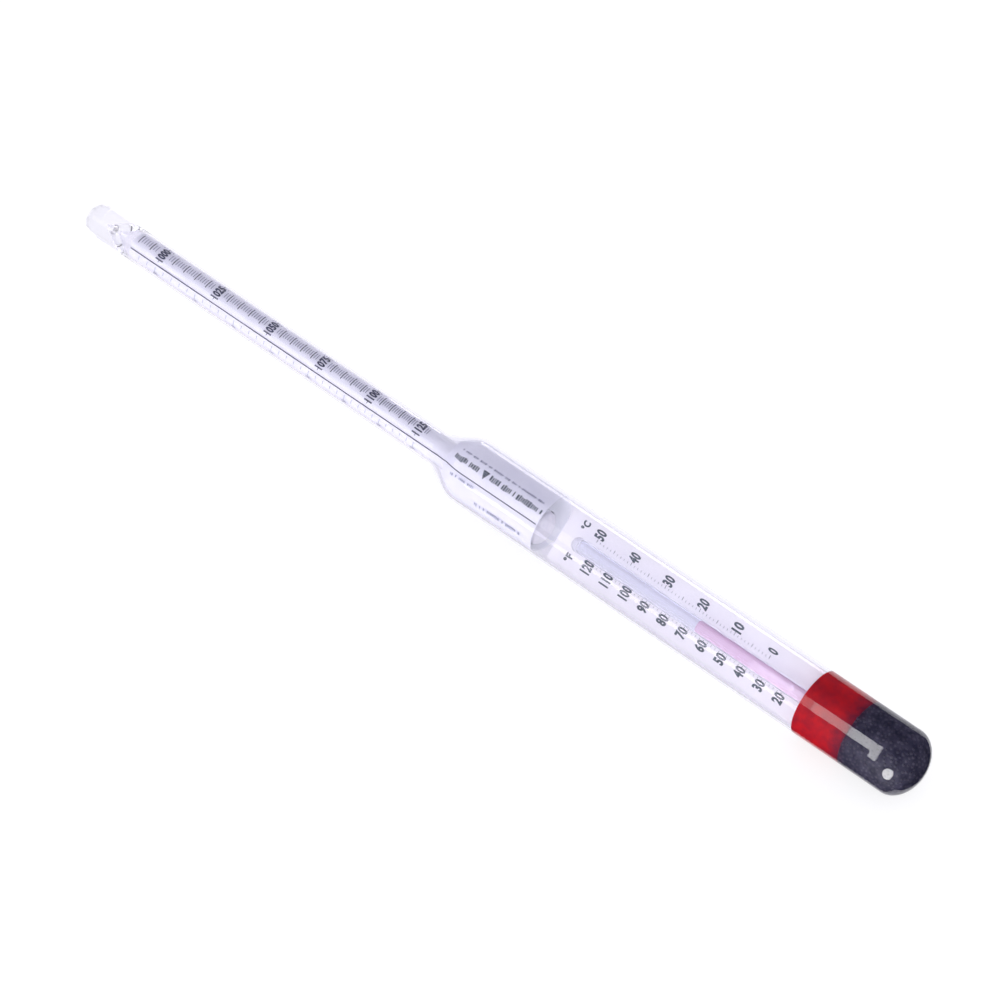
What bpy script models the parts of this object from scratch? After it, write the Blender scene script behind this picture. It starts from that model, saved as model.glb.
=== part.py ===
"""A glass hydrometer with a thermometer in its body, lying on its side.

It is drawn as it floats: each piece's own +Z runs up the stem, and `down` is the distance below the
stem's tip. One empty on the glass's axis then lays the whole instrument down, stem towards -X and
ballast towards +X, so that the body rests on z = 0.
"""

import math

import bmesh
import bpy
from mathutils import Matrix

MM = 0.001

# Driving dimensions, in millimetres. Heights are distances below the stem's tip.
LENGTH = 275.0
BODY_RADIUS = 9.0
BODY_WALL = 0.75
STEM_RADIUS = 4.45
STEM_WALL = 0.65
TIP_DOME = 4.0
SHOULDER_TOP = 120.0
SHOULDER_END = 132.2
BASE_DOME = 6.5
FIT_GAP = 0.3

# Where the glass was fused: stem to body at the neck, body to ballast end above the wax.
NECK_SEAM = 119.5
BASE_SEAM = 238.5
STEM_BORE_TOP = 6.9
BORE_TAPER = 9.0
TAPER_POWER = 1.25

# Papers: the narrow scale roll and the wide label roll.
PAPER_THICKNESS = 0.12
ROLL_STEP = 0.3
ROLL_TURNS = 1.12
SCALE_SEAM = math.radians(-54.0)
SCALE_TOP = 17.3
SCALE_END = 157.1
SCALE_END_RADIUS = 5.0
SCALE_SAG = 2.0
SAG_ANGLE = math.radians(-110.0)
OPENING_TOP = SHOULDER_TOP + 2.0
OPENING_END = SCALE_END - 8.0
WAD_TOP = 153.5
WAD_RIM = 157.2
WAD_BULGE = 2.0
LABEL_SEAM = math.radians(-46.0)
LABEL_TOP = 127.0
LABEL_END = 158.4
LABEL_LAG = 1.0

# Thermometer: a card, and a flat-bored capillary in front of it with its bulb in the ballast.
CARD_FACING = math.radians(-42.0)
CARD_TOP = 161.5
CARD_END = 241.0
CARD_THICKNESS = 0.3
CARD_BACK = 0.8
TUBE_RADIUS = 2.0
TUBE_FORWARD = 1.8
TUBE_TOP = 166.5
TUBE_END = 243.0
BORE_TOP = 168.3
BORE_WIDTH = 2.6
BORE_DEPTH = 1.0
THREAD_TOP = 206.3
BULB_RADIUS = 3.2
BULB_WALL = 0.5
BULB_END = 262.5
BULB_DOME = 3.0
BULB_NECK = 2.4
THROAT_RADIUS = 1.4
THROAT_LENGTH = 1.0

# Ballast: red sealing wax over bonded shot.
WAX_TOP = 241.6
WAX_MENISCUS = 1.1
WAX_FLAT_SHARE = 0.6
WAX_CURVE_SHARE = 0.88
WAX_CURVE_DIP = 0.6
SHOT_TOP = 256.0

SIDES = 32
THIN_SIDES = 16
DOME_STEPS = 5
SHOULDER_STEPS = 7
SCALE_COLUMNS = 34
OPENING_STEPS = 8
LABEL_COLUMNS = 44
LABEL_STEPS = 5
SHARP_ANGLE = math.radians(40.0)
MERGE = 0.00001
CUTTER_MARGIN = 2.0

INNER_RADIUS = BODY_RADIUS - BODY_WALL
BORE_RADIUS = STEM_RADIUS - STEM_WALL
FILL_RADIUS = INNER_RADIUS - FIT_GAP
CARD_WIDTH = 2.0 * math.sqrt(FILL_RADIUS ** 2 - CARD_BACK ** 2)
BASE_DOME_TOP = LENGTH - BASE_DOME
BULB_TOP = TUBE_END + FIT_GAP
THREAD_END = TUBE_END - FIT_GAP / 3


def clear_scene():
    for item in list(bpy.data.objects):
        bpy.data.objects.remove(item, do_unlink=True)


def new_collection(name):
    collection = bpy.data.collections.new(name)
    bpy.context.scene.collection.children.link(collection)
    return collection


def new_material(name, colour, roughness, metallic=0.0, transmission=0.0):
    material = bpy.data.materials.new(name)
    material.use_nodes = True
    shader = material.node_tree.nodes["Principled BSDF"]
    shader.inputs["Base Color"].default_value = (*colour, 1.0)
    shader.inputs["Roughness"].default_value = roughness
    shader.inputs["Metallic"].default_value = metallic
    shader.inputs["Transmission Weight"].default_value = transmission
    material.diffuse_color = (*colour, 1.0)
    return material


def new_part(name, mesh, collection, axis, material=None):
    part = bpy.data.objects.new(name, mesh)
    collection.objects.link(part)
    part.parent = axis
    if material:
        mesh.materials.append(material)
    return part


def height(down):
    """Local z, in metres, of a point that lies `down` millimetres below the tip."""
    return (LENGTH / 2 - down) * MM


def dome(radius, start, rise, steps=DOME_STEPS):
    """Quarter ellipse from the wall at `start` to the axis at `start + rise`, as (radius, down) points."""
    points = []
    for step in range(1, steps + 1):
        turn = math.pi / 2 * step / steps
        points.append((radius * math.cos(turn), start + rise * math.sin(turn)))
    points[-1] = (0.0, start + rise)
    return points


def upturned(points, start):
    """The same dome, rising from `start` towards the tip instead of falling from it."""
    return [(radius, 2.0 * start - down) for radius, down in points]


def tapered(radius, top, length, steps=DOME_STEPS):
    """The bore's drawn-out end: a cone that rounds into the bore's wall, as (radius, down) points."""
    shares = [step / steps for step in range(steps, -1, -1)]
    return [(radius * (1.0 - (1.0 - share) ** TAPER_POWER), top + length * share) for share in shares]


def shoulder_radius(down, upper, lower):
    """Radius of a wall that swells smoothly from the stem's to the body's."""
    share = (down - SHOULDER_TOP) / (SHOULDER_END - SHOULDER_TOP)
    share = min(max(share, 0.0), 1.0)
    return upper + (lower - upper) * share * share * (3.0 - 2.0 * share)


def shoulder(upper, lower):
    span = SHOULDER_END - SHOULDER_TOP
    heights = [SHOULDER_TOP + span * step / SHOULDER_STEPS for step in range(SHOULDER_STEPS + 1)]
    return [(shoulder_radius(down, upper, lower), down) for down in heights]


def turned_mesh(name, profile, closed, sides):
    """Profile of (radius, down) points as edges at +X, where the radius is that of the flats."""
    corner = 1.0 / math.cos(math.pi / sides)
    mesh = bpy.data.meshes.new(name)
    shape = bmesh.new()
    corners = [shape.verts.new((radius * corner * MM, 0.0, height(down))) for radius, down in profile]
    for first, second in zip(corners, corners[1:]):
        shape.edges.new((first, second))
    if closed:
        shape.edges.new((corners[-1], corners[0]))
    shape.to_mesh(mesh)
    shape.free()
    return mesh


def add_turned(name, profile, collection, axis, material=None, closed=False, sides=SIDES):
    """Solid of revolution whose lowest facet lies flat when the instrument is laid down."""
    part = new_part(name, turned_mesh(name, profile, closed, sides), collection, axis, material)
    part.rotation_euler.z = math.pi / sides
    screw = part.modifiers.new("turned", "SCREW")
    screw.axis = "Z"
    screw.angle = math.tau
    screw.steps = sides
    screw.render_steps = sides
    screw.use_merge_vertices = True
    screw.merge_threshold = MERGE
    screw.use_smooth_shade = True
    return part


def forward(part):
    """Moves a piece of the thermometer from the glass's axis to its place in front of the card."""
    part.location.x = TUBE_FORWARD * MM * math.cos(CARD_FACING)
    part.location.y = TUBE_FORWARD * MM * math.sin(CARD_FACING)
    return part


def add_cut(part, cutter):
    cutter.hide_render = True
    cutter.display_type = "WIRE"
    cut = part.modifiers.new("cut", "BOOLEAN")
    cut.operation = "DIFFERENCE"
    cut.solver = "EXACT"
    cut.object = cutter


def make_stem_tube(collection, axis, material):
    end = NECK_SEAM - FIT_GAP / 2
    profile = upturned(dome(STEM_RADIUS, TIP_DOME, TIP_DOME), TIP_DOME)[::-1]
    profile += [(STEM_RADIUS, TIP_DOME), (STEM_RADIUS, end), (BORE_RADIUS, end)]
    profile += tapered(BORE_RADIUS, STEM_BORE_TOP, BORE_TAPER)
    add_turned("stem_tube", profile, collection, axis, material)


def make_body_tube(collection, axis, material):
    top = NECK_SEAM + FIT_GAP / 2
    end = BASE_SEAM - FIT_GAP / 2
    profile = [(STEM_RADIUS, top)] + shoulder(STEM_RADIUS, BODY_RADIUS) + [(BODY_RADIUS, end)]
    profile += [(INNER_RADIUS, end)] + shoulder(BORE_RADIUS, INNER_RADIUS)[::-1] + [(BORE_RADIUS, top)]
    add_turned("body_tube", profile, collection, axis, material, closed=True)


def make_ballast_end(collection, axis, material):
    top = BASE_SEAM + FIT_GAP / 2
    inner_dome = dome(INNER_RADIUS, BASE_DOME_TOP, BASE_DOME - BODY_WALL)
    profile = inner_dome[::-1] + [(INNER_RADIUS, BASE_DOME_TOP), (INNER_RADIUS, top), (BODY_RADIUS, top)]
    profile += [(BODY_RADIUS, BASE_DOME_TOP)] + dome(BODY_RADIUS, BASE_DOME_TOP, BASE_DOME)
    add_turned("ballast_end", profile, collection, axis, material)


def add_rolled_sheet(name, heights, radius_at, sag_at, seam, columns, collection, axis, material):
    """Flat sheet rolled into a spiral: its outer edge is the seam, and it laps inside itself."""
    mesh = bpy.data.meshes.new(name)
    sheet = bmesh.new()
    bmesh.ops.create_grid(sheet, x_segments=columns, y_segments=len(heights) - 1, size=1.0)
    for corner in sheet.verts:
        across = (corner.co.x + 1.0) / 2
        row = round((corner.co.y + 1.0) / 2 * (len(heights) - 1))
        down = heights[row]
        angle = seam + across * ROLL_TURNS * math.tau
        radius = radius_at(down) - across * ROLL_TURNS * ROLL_STEP
        corner.co.x = (radius * math.cos(angle) + sag_at(down) * math.cos(SAG_ANGLE)) * MM
        corner.co.y = (radius * math.sin(angle) + sag_at(down) * math.sin(SAG_ANGLE)) * MM
        corner.co.z = height(down)
    sheet.to_mesh(mesh)
    sheet.free()
    part = new_part(name, mesh, collection, axis, material)
    solid = part.modifiers.new("paper", "SOLIDIFY")
    solid.thickness = PAPER_THICKNESS * MM
    solid.offset = 0.0
    mesh.shade_smooth()
    mesh.set_sharp_from_angle(angle=SHARP_ANGLE)
    return part


def make_scale_roll(collection, axis, material):
    """The narrow roll fills the stem, and springs open where it reaches into the body."""
    stem_radius = BORE_RADIUS - FIT_GAP - PAPER_THICKNESS / 2
    span = OPENING_END - OPENING_TOP

    def open_share(down):
        share = min(max((down - OPENING_TOP) / span, 0.0), 1.0)
        return share * share * (3.0 - 2.0 * share)

    def radius_at(down):
        return stem_radius + (SCALE_END_RADIUS - stem_radius) * open_share(down)

    def sag_at(down):
        return SCALE_SAG * open_share(down)

    heights = [SCALE_TOP] + [OPENING_TOP + span * step / OPENING_STEPS for step in range(OPENING_STEPS + 1)]
    add_rolled_sheet("scale_roll", heights + [SCALE_END], radius_at, sag_at, SCALE_SEAM, SCALE_COLUMNS,
                     collection, axis, material)


def make_wad(collection, axis, material):
    """White wad pressed into the open end of the scale roll, with its rounded face showing."""
    radius = SCALE_END_RADIUS - ROLL_TURNS * ROLL_STEP - PAPER_THICKNESS / 2 - FIT_GAP
    profile = [(0.0, WAD_TOP), (radius, WAD_TOP), (radius, WAD_RIM)] + dome(radius, WAD_RIM, WAD_BULGE)
    wad = add_turned("roll_wad", profile, collection, axis, material, sides=THIN_SIDES)
    wad.location.x = SCALE_SAG * MM * math.cos(SAG_ANGLE)
    wad.location.y = SCALE_SAG * MM * math.sin(SAG_ANGLE)


def make_label_roll(collection, axis, material):
    """The wide roll lines the body, and its top edge is pressed in by the shoulder."""
    clearance = FIT_GAP + PAPER_THICKNESS

    def radius_at(down):
        return shoulder_radius(down - LABEL_LAG, BORE_RADIUS, INNER_RADIUS) - clearance

    span = SHOULDER_END + LABEL_LAG - LABEL_TOP
    heights = [LABEL_TOP + span * step / LABEL_STEPS for step in range(LABEL_STEPS + 1)]
    add_rolled_sheet("label_roll", heights + [LABEL_END], radius_at, lambda down: 0.0, LABEL_SEAM,
                     LABEL_COLUMNS, collection, axis, material)


def make_card(collection, axis, material):
    mesh = bpy.data.meshes.new("thermometer_card")
    shape = bmesh.new()
    size = (CARD_THICKNESS * MM, CARD_WIDTH * MM, (CARD_END - CARD_TOP) * MM)
    bmesh.ops.create_cube(shape, size=1.0, matrix=Matrix.Diagonal((*size, 1.0)))
    shape.to_mesh(mesh)
    shape.free()
    card = new_part("thermometer_card", mesh, collection, axis, material)
    back = (CARD_THICKNESS / 2 - CARD_BACK) * MM
    card.location = (back * math.cos(CARD_FACING), back * math.sin(CARD_FACING),
                     height((CARD_TOP + CARD_END) / 2))
    card.rotation_euler.z = CARD_FACING


def add_ribbon(name, width, depth, top, end, collection, axis, material=None):
    """Flat oval rod facing the front of the thermometer, between two heights."""
    outline = bpy.data.curves.new(name, "CURVE")
    outline.dimensions = "2D"
    outline.fill_mode = "BOTH"
    outline.extrude = (end - top) / 2 * MM
    spline = outline.splines.new("POLY")
    spline.points.add(THIN_SIDES - 1)
    spline.use_cyclic_u = True
    for index, point in enumerate(spline.points):
        turn = math.tau * index / THIN_SIDES
        point.co = (depth / 2 * MM * math.cos(turn), width / 2 * MM * math.sin(turn), 0.0, 1.0)
    ribbon = forward(new_part(name, outline, collection, axis, material))
    ribbon.location.z = height((top + end) / 2)
    ribbon.rotation_euler.z = CARD_FACING
    return ribbon


def as_mesh(curve, collection, axis):
    """The same piece as a welded mesh, which a Boolean can use."""
    name = curve.name
    curve.name = name + "_outline"
    bpy.context.view_layer.update()
    seen = curve.evaluated_get(bpy.context.evaluated_depsgraph_get())
    mesh = bpy.data.meshes.new_from_object(seen)
    shape = bmesh.new()
    shape.from_mesh(mesh)
    bmesh.ops.remove_doubles(shape, verts=shape.verts, dist=MERGE / 10)
    shape.to_mesh(mesh)
    shape.free()
    piece = bpy.data.objects.new(name, mesh)
    collection.objects.link(piece)
    piece.parent = axis
    piece.matrix_world = curve.matrix_world
    bpy.data.objects.remove(curve, do_unlink=True)
    return piece


def make_capillary(collection, cutters, axis, material):
    wall_top = TUBE_TOP + TUBE_RADIUS
    profile = upturned(dome(TUBE_RADIUS, wall_top, TUBE_RADIUS), wall_top)[::-1]
    profile += [(TUBE_RADIUS, wall_top), (TUBE_RADIUS, TUBE_END), (0.0, TUBE_END)]
    tube = add_turned("capillary_tube", profile, collection, axis, material, sides=THIN_SIDES)
    bore = add_ribbon("bore_cutter", BORE_WIDTH, BORE_DEPTH, BORE_TOP, TUBE_END + CUTTER_MARGIN, cutters, axis)
    add_cut(forward(tube), as_mesh(bore, cutters, axis))


def make_thread(collection, axis, material):
    """The spirit in the bore. Its origin lies at its lower end, on the line that it moves along."""
    add_ribbon("spirit_thread", BORE_WIDTH - 2 * FIT_GAP, BORE_DEPTH - 2 * FIT_GAP, THREAD_TOP, THREAD_END,
               collection, axis, material)


def bulb_outline(radius, neck_radius, top, end):
    """Outer profile of the bulb: a neck that swells into a round-ended cylinder."""
    return [(neck_radius, top), (radius, BULB_TOP + BULB_NECK), (radius, end - BULB_DOME)] + dome(
        radius, end - BULB_DOME, BULB_DOME)


def make_bulb(collection, axis, material):
    hollow = BULB_RADIUS - BULB_WALL
    start = BULB_END - BULB_DOME
    inner = [(THROAT_RADIUS, BULB_TOP), (THROAT_RADIUS, BULB_TOP + THROAT_LENGTH),
             (hollow, BULB_TOP + BULB_NECK + FIT_GAP), (hollow, start)]
    inner += dome(hollow, start, BULB_DOME - BULB_WALL)
    outer = bulb_outline(BULB_RADIUS, TUBE_RADIUS, BULB_TOP, BULB_END)
    forward(add_turned("thermometer_bulb", inner[::-1] + outer, collection, axis, material, sides=THIN_SIDES))


def make_bulb_spirit(collection, axis, material):
    radius = BULB_RADIUS - BULB_WALL - FIT_GAP
    neck_radius = THROAT_RADIUS - FIT_GAP
    top = BULB_TOP + FIT_GAP
    start = BULB_END - BULB_DOME
    profile = [(0.0, top), (neck_radius, top), (neck_radius, top + THROAT_LENGTH),
               (radius, BULB_TOP + BULB_NECK + 2 * FIT_GAP), (radius, start)]
    profile += dome(radius, start, BULB_DOME - BULB_WALL - FIT_GAP)
    forward(add_turned("bulb_spirit", profile, collection, axis, material, sides=THIN_SIDES))


def thermometer_cutter(name, cutters, axis):
    """The thermometer's outline grown by the fit gap, for the ballast that is poured round it."""
    grown = BULB_RADIUS + FIT_GAP
    neck_radius = TUBE_RADIUS + FIT_GAP
    top = WAX_TOP - CUTTER_MARGIN
    start = BULB_END - BULB_DOME + FIT_GAP
    profile = [(0.0, top), (neck_radius, top), (neck_radius, BULB_TOP),
               (grown, BULB_TOP + BULB_NECK - FIT_GAP), (grown, start)]
    profile += dome(grown, start, BULB_DOME)
    return forward(add_turned(name, profile, cutters, axis, sides=THIN_SIDES))


def make_wax(collection, cutters, axis, material):
    """Red wax: its top dips in the middle, where it has run up the glass as it set."""
    dip = WAX_TOP + WAX_MENISCUS
    end = SHOT_TOP - FIT_GAP
    profile = [(0.0, dip), (FILL_RADIUS * WAX_FLAT_SHARE, dip),
               (FILL_RADIUS * WAX_CURVE_SHARE, WAX_TOP + WAX_MENISCUS * WAX_CURVE_DIP),
               (FILL_RADIUS, WAX_TOP), (FILL_RADIUS, end), (0.0, end)]
    wax = add_turned("sealing_wax", profile, collection, axis, material)
    add_cut(wax, thermometer_cutter("wax_cutter", cutters, axis))


def make_shot(collection, cutters, axis, material):
    """Steel shot bonded into one lump, which fills the round end of the glass."""
    profile = [(0.0, SHOT_TOP), (FILL_RADIUS, SHOT_TOP), (FILL_RADIUS, BASE_DOME_TOP)]
    profile += dome(FILL_RADIUS, BASE_DOME_TOP, BASE_DOME - BODY_WALL - FIT_GAP)
    shot = add_turned("shot_ballast", profile, collection, axis, material)
    add_cut(shot, thermometer_cutter("shot_cutter", cutters, axis))


def main():
    clear_scene()
    collection = new_collection("hydrometer")
    cutters = new_collection("cutters")
    axis = bpy.data.objects.new("glass_axis", None)
    collection.objects.link(axis)
    axis.location.z = BODY_RADIUS * MM
    axis.rotation_euler.y = -math.pi / 2

    envelope = (0.88, 0.87, 0.94)
    make_stem_tube(collection, axis, new_material("stem_glass", envelope, 0.05, transmission=0.9))
    make_body_tube(collection, axis, new_material("body_glass", envelope, 0.05, transmission=0.9))
    make_ballast_end(collection, axis, new_material("ballast_glass", envelope, 0.05, transmission=0.9))
    make_scale_roll(collection, axis, new_material("scale_paper", (0.85, 0.87, 0.93), 0.85))
    make_wad(collection, axis, new_material("cotton_wad", (0.93, 0.92, 0.95), 0.95))
    make_label_roll(collection, axis, new_material("label_paper", (0.83, 0.84, 0.92), 0.85))
    make_card(collection, axis, new_material("card_stock", (0.88, 0.87, 0.92), 0.8))
    tube_glass = new_material("capillary_glass", (0.80, 0.82, 0.88), 0.05, transmission=0.9)
    make_capillary(collection, cutters, axis, tube_glass)
    make_bulb(collection, axis, new_material("bulb_glass", (0.80, 0.82, 0.88), 0.05, transmission=0.9))
    make_thread(collection, axis, new_material("thread_spirit", (0.85, 0.30, 0.48), 0.1))
    make_bulb_spirit(collection, axis, new_material("bulb_spirit", (0.75, 0.10, 0.22), 0.1))
    make_wax(collection, cutters, axis, new_material("red_wax", (0.60, 0.01, 0.03), 0.35))
    make_shot(collection, cutters, axis, new_material("steel_shot", (0.05, 0.05, 0.10), 0.45, metallic=0.6))
    bpy.context.view_layer.update()


main()
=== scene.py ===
import math
import random

import bmesh
import bpy
from mathutils import Matrix, Vector, noise


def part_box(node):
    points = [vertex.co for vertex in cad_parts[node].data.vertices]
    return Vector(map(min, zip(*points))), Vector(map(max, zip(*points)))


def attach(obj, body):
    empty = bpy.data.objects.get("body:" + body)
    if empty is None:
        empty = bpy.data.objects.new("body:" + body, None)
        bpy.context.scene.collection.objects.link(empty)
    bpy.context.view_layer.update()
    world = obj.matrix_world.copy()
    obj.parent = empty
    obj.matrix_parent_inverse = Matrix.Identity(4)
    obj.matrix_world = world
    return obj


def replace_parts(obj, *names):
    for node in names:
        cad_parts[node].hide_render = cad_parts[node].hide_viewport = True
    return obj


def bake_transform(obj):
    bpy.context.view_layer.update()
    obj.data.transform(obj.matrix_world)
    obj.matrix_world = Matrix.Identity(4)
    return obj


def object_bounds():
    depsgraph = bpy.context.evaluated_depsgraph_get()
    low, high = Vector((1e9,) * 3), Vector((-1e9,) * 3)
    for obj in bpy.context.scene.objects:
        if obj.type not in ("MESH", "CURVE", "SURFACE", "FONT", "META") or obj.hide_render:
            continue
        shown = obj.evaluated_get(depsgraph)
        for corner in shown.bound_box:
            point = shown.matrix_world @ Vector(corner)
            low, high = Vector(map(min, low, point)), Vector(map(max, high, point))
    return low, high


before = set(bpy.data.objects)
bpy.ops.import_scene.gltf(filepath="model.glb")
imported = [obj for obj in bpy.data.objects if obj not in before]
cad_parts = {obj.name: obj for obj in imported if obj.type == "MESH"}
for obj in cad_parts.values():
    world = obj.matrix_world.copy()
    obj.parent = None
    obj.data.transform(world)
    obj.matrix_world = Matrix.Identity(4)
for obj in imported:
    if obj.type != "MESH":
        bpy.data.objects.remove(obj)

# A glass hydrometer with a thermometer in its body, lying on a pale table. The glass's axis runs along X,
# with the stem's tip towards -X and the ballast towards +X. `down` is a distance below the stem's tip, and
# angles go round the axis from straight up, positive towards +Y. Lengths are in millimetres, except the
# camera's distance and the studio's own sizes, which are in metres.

MM = 0.001
CAD_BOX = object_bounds()
TIP_X = CAD_BOX[0].x
AXIS_Z = (CAD_BOX[0].z + CAD_BOX[1].z) / 2


def reach(node):
    """How far below the tip a CAD node begins and ends."""
    low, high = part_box(node)
    return (low.x - TIP_X) / MM, (high.x - TIP_X) / MM


def middle(node):
    """Where a CAD node's middle lies across the glass, as (y, z above the axis)."""
    low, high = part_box(node)
    return (low.y + high.y) / 2 / MM, ((low.z + high.z) / 2 - AXIS_Z) / MM


def half_width(node):
    low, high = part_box(node)
    return (high.y - low.y) / 2 / MM


# The glass. Its length and its radii come from CAD.
LENGTH = reach("ballast_end")[1]
BODY_RADIUS = half_width("ballast_end")
STEM_RADIUS = half_width("stem_tube")
BODY_WALL = 0.75
STEM_WALL = 0.65
INNER_RADIUS = BODY_RADIUS - BODY_WALL
BORE_RADIUS = STEM_RADIUS - STEM_WALL
TIP_DOME = 4.0
BORE_TOP = 6.9
BORE_TAPER = 9.0
TAPER_POWER = 1.25
SHOULDER_TOP = 120.0
SHOULDER_END = 132.2
BASE_DOME = 6.5
BASE_TOP = LENGTH - BASE_DOME
BASE_RISE = BASE_DOME - BODY_WALL
SEGMENTS = 96
TIP_STEPS = 16
TAPER_STEPS = 24
END_STEPS = 20
TUBE_STEP = 3.0
SHOULDER_STEP = 0.5
GLASS_WANDER = 0.03

# Where the pieces inside the glass begin and end.
SCALE_TOP, SCALE_END = reach("scale_roll")
LABEL_TOP, LABEL_END = reach("label_roll")
CARD_TOP, CARD_END = reach("thermometer_card")
TUBE_TOP, TUBE_END = reach("capillary_tube")
THREAD_TOP, THREAD_END = reach("spirit_thread")
WAX_TOP, WAX_END = reach("sealing_wax")
SHOT_TOP = reach("shot_ballast")[0]
WAD_TOP, WAD_END = reach("roll_wad")
TUBE_AT = middle("capillary_tube")
CARD_FACING = math.atan2(TUBE_AT[0], TUBE_AT[1])
TUBE_FORWARD = math.hypot(*TUBE_AT)
TUBE_RADIUS = 2.0

# The camera, and the side that the printed scales face.
VIEW_ANGLE = math.radians(-32.0)
VIEW_TURN = math.radians(23.0)
VIEW_TILT = math.radians(34.1)
VIEW_DISTANCE = 1.2
VIEW_MIDDLE = 5.5
VIEW_DROP = 2.06
LENS = 171.6
SENSOR = 36.0

# The two paper rolls. The scale springs open below the stem, and sags to one side there.
PAPER_THICKNESS = 0.1
SCALE_RADIUS = 3.68
SCALE_END_RADIUS = 5.0
SCALE_SAG = 2.0
SAG_ANGLE = math.radians(-110.0)
SCALE_SEAM = math.radians(-54.0)
SCALE_TURNS = 1.12
SCALE_OPENS = SHOULDER_TOP + 2.0
SCALE_OPEN = SCALE_END - 8.0
LABEL_RADIUS = 8.05
LABEL_SEAM = math.radians(-46.0)
LABEL_TURNS = 1.1
LABEL_LAG = 1.2
LABEL_GAP = 0.2
LAP_STEP = 0.14
RIPPLE = 0.06
RAGGED = 0.25
LABEL_RAGGED = 0.8
SCALE_STEP = 4.0
FLARE_STEP = 1.2
LABEL_STEP = 0.8
SCALE_COLUMNS = 90
LABEL_COLUMNS = 120

collection = bpy.context.scene.collection


# Shapes.

def x_at(down):
    return TIP_X + down * MM


def place(radius, angle, down):
    """World point at a radius and an angle round the glass's axis."""
    return Vector((x_at(down), radius * MM * math.sin(angle), AXIS_Z + radius * MM * math.cos(angle)))


def facing(across, forward, down):
    """World point in the thermometer card's own directions: across it, and forward of the glass's axis."""
    y = across * math.cos(CARD_FACING) + forward * math.sin(CARD_FACING)
    z = forward * math.cos(CARD_FACING) - across * math.sin(CARD_FACING)
    return Vector((x_at(down), y * MM, AXIS_Z + z * MM))


def smooth(share):
    share = min(max(share, 0.0), 1.0)
    return share * share * (3.0 - 2.0 * share)


def add_piece(name, points, faces, material, body="instrument", slot=None, sharp=None):
    mesh = bpy.data.meshes.new(name)
    mesh.from_pydata(points, [], faces)
    mesh.materials.append(material)
    mesh.shade_smooth()
    if sharp:
        mesh.set_sharp_from_angle(angle=math.radians(sharp))
    piece = bpy.data.objects.new(name, mesh)
    collection.objects.link(piece)
    if body:
        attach(piece, body)
    return piece


def from_bmesh(name, shape, material, **facts):
    shape.verts.index_update()
    points = [corner.co.copy() for corner in shape.verts]
    faces = [[corner.index for corner in face.verts] for face in shape.faces]
    shape.free()
    return add_piece(name, points, faces, material, **facts)


def turned(profile, at=(0.0, 0.0), segments=SEGMENTS, change=None, points=None, faces=None):
    """Surface turned about a line along X, as points and faces. It faces outwards where the profile of
    (radius, down) runs away from the tip, and inwards where it runs back."""
    points = [] if points is None else points
    faces = [] if faces is None else faces
    rows = []
    for radius, down in profile:
        if radius < 1e-6:
            rows.append([len(points)])
            points.append(Vector((x_at(down), at[0] * MM, AXIS_Z + at[1] * MM)))
            continue
        rows.append(list(range(len(points), len(points) + segments)))
        for step in range(segments):
            angle = math.tau * step / segments
            wide = radius + (change(radius, down, angle) if change else 0.0)
            points.append(place(wide, angle, down) + Vector((0.0, at[0] * MM, at[1] * MM)))
    for upper, lower in zip(rows, rows[1:]):
        for step in range(segments):
            after = (step + 1) % segments
            if len(upper) == 1:
                faces.append([upper[0], lower[step], lower[after]])
            elif len(lower) == 1:
                faces.append([upper[step], lower[0], upper[after]])
            else:
                faces.append([upper[step], lower[step], lower[after], upper[after]])
    return points, faces


def quarter(radius, start, rise, steps):
    """Quarter ellipse from the wall at `start` to the axis at `start + rise`."""
    turns = [math.pi / 2 * step / steps for step in range(1, steps)]
    return [(radius * math.cos(t), start + rise * math.sin(t)) for t in turns] + [(0.0, start + rise)]


def upturned(points, start):
    return [(radius, 2.0 * start - down) for radius, down in points]


def swell(down, upper, lower):
    return upper + (lower - upper) * smooth((down - SHOULDER_TOP) / (SHOULDER_END - SHOULDER_TOP))


def run(start, end, step):
    count = max(1, round((end - start) / step))
    return [start + (end - start) * index / count for index in range(count + 1)]


# Materials.

def new_material(name):
    material = bpy.data.materials.new(name)
    material.use_nodes = True
    tree = material.node_tree
    return material, tree, tree.nodes["Principled BSDF"]


def link(tree, source, target):
    tree.links.new(source, target)


def coordinates(tree, stretch=(1.0, 1.0, 1.0)):
    place_node = tree.nodes.new("ShaderNodeTexCoord")
    mapping = tree.nodes.new("ShaderNodeMapping")
    mapping.inputs["Scale"].default_value = stretch
    link(tree, place_node.outputs["Object"], mapping.inputs["Vector"])
    return mapping.outputs["Vector"]


def add_noise(tree, scale, detail=3.0, stretch=(1.0, 1.0, 1.0)):
    texture = tree.nodes.new("ShaderNodeTexNoise")
    texture.inputs["Scale"].default_value = scale
    texture.inputs["Detail"].default_value = detail
    link(tree, coordinates(tree, stretch), texture.inputs["Vector"])
    return texture.outputs["Fac"]


def spread(tree, source, low, high, first=0.3, last=0.7):
    """Maps a noise onto a range of values."""
    ranged = tree.nodes.new("ShaderNodeMapRange")
    ranged.inputs["From Min"].default_value = first
    ranged.inputs["From Max"].default_value = last
    ranged.inputs["To Min"].default_value = low
    ranged.inputs["To Max"].default_value = high
    link(tree, source, ranged.inputs["Value"])
    return ranged.outputs["Result"]


def blend_colours(tree, share, first, second):
    """Colour that goes from the first to the second; either may be a colour or a socket."""
    mix = tree.nodes.new("ShaderNodeMix")
    mix.data_type = "RGBA"
    for socket, colour in ((mix.inputs[6], first), (mix.inputs[7], second)):
        if isinstance(colour, tuple):
            socket.default_value = (*colour, 1.0)
        else:
            link(tree, colour, socket)
    link(tree, share, mix.inputs[0])
    return mix.outputs[2]


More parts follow.
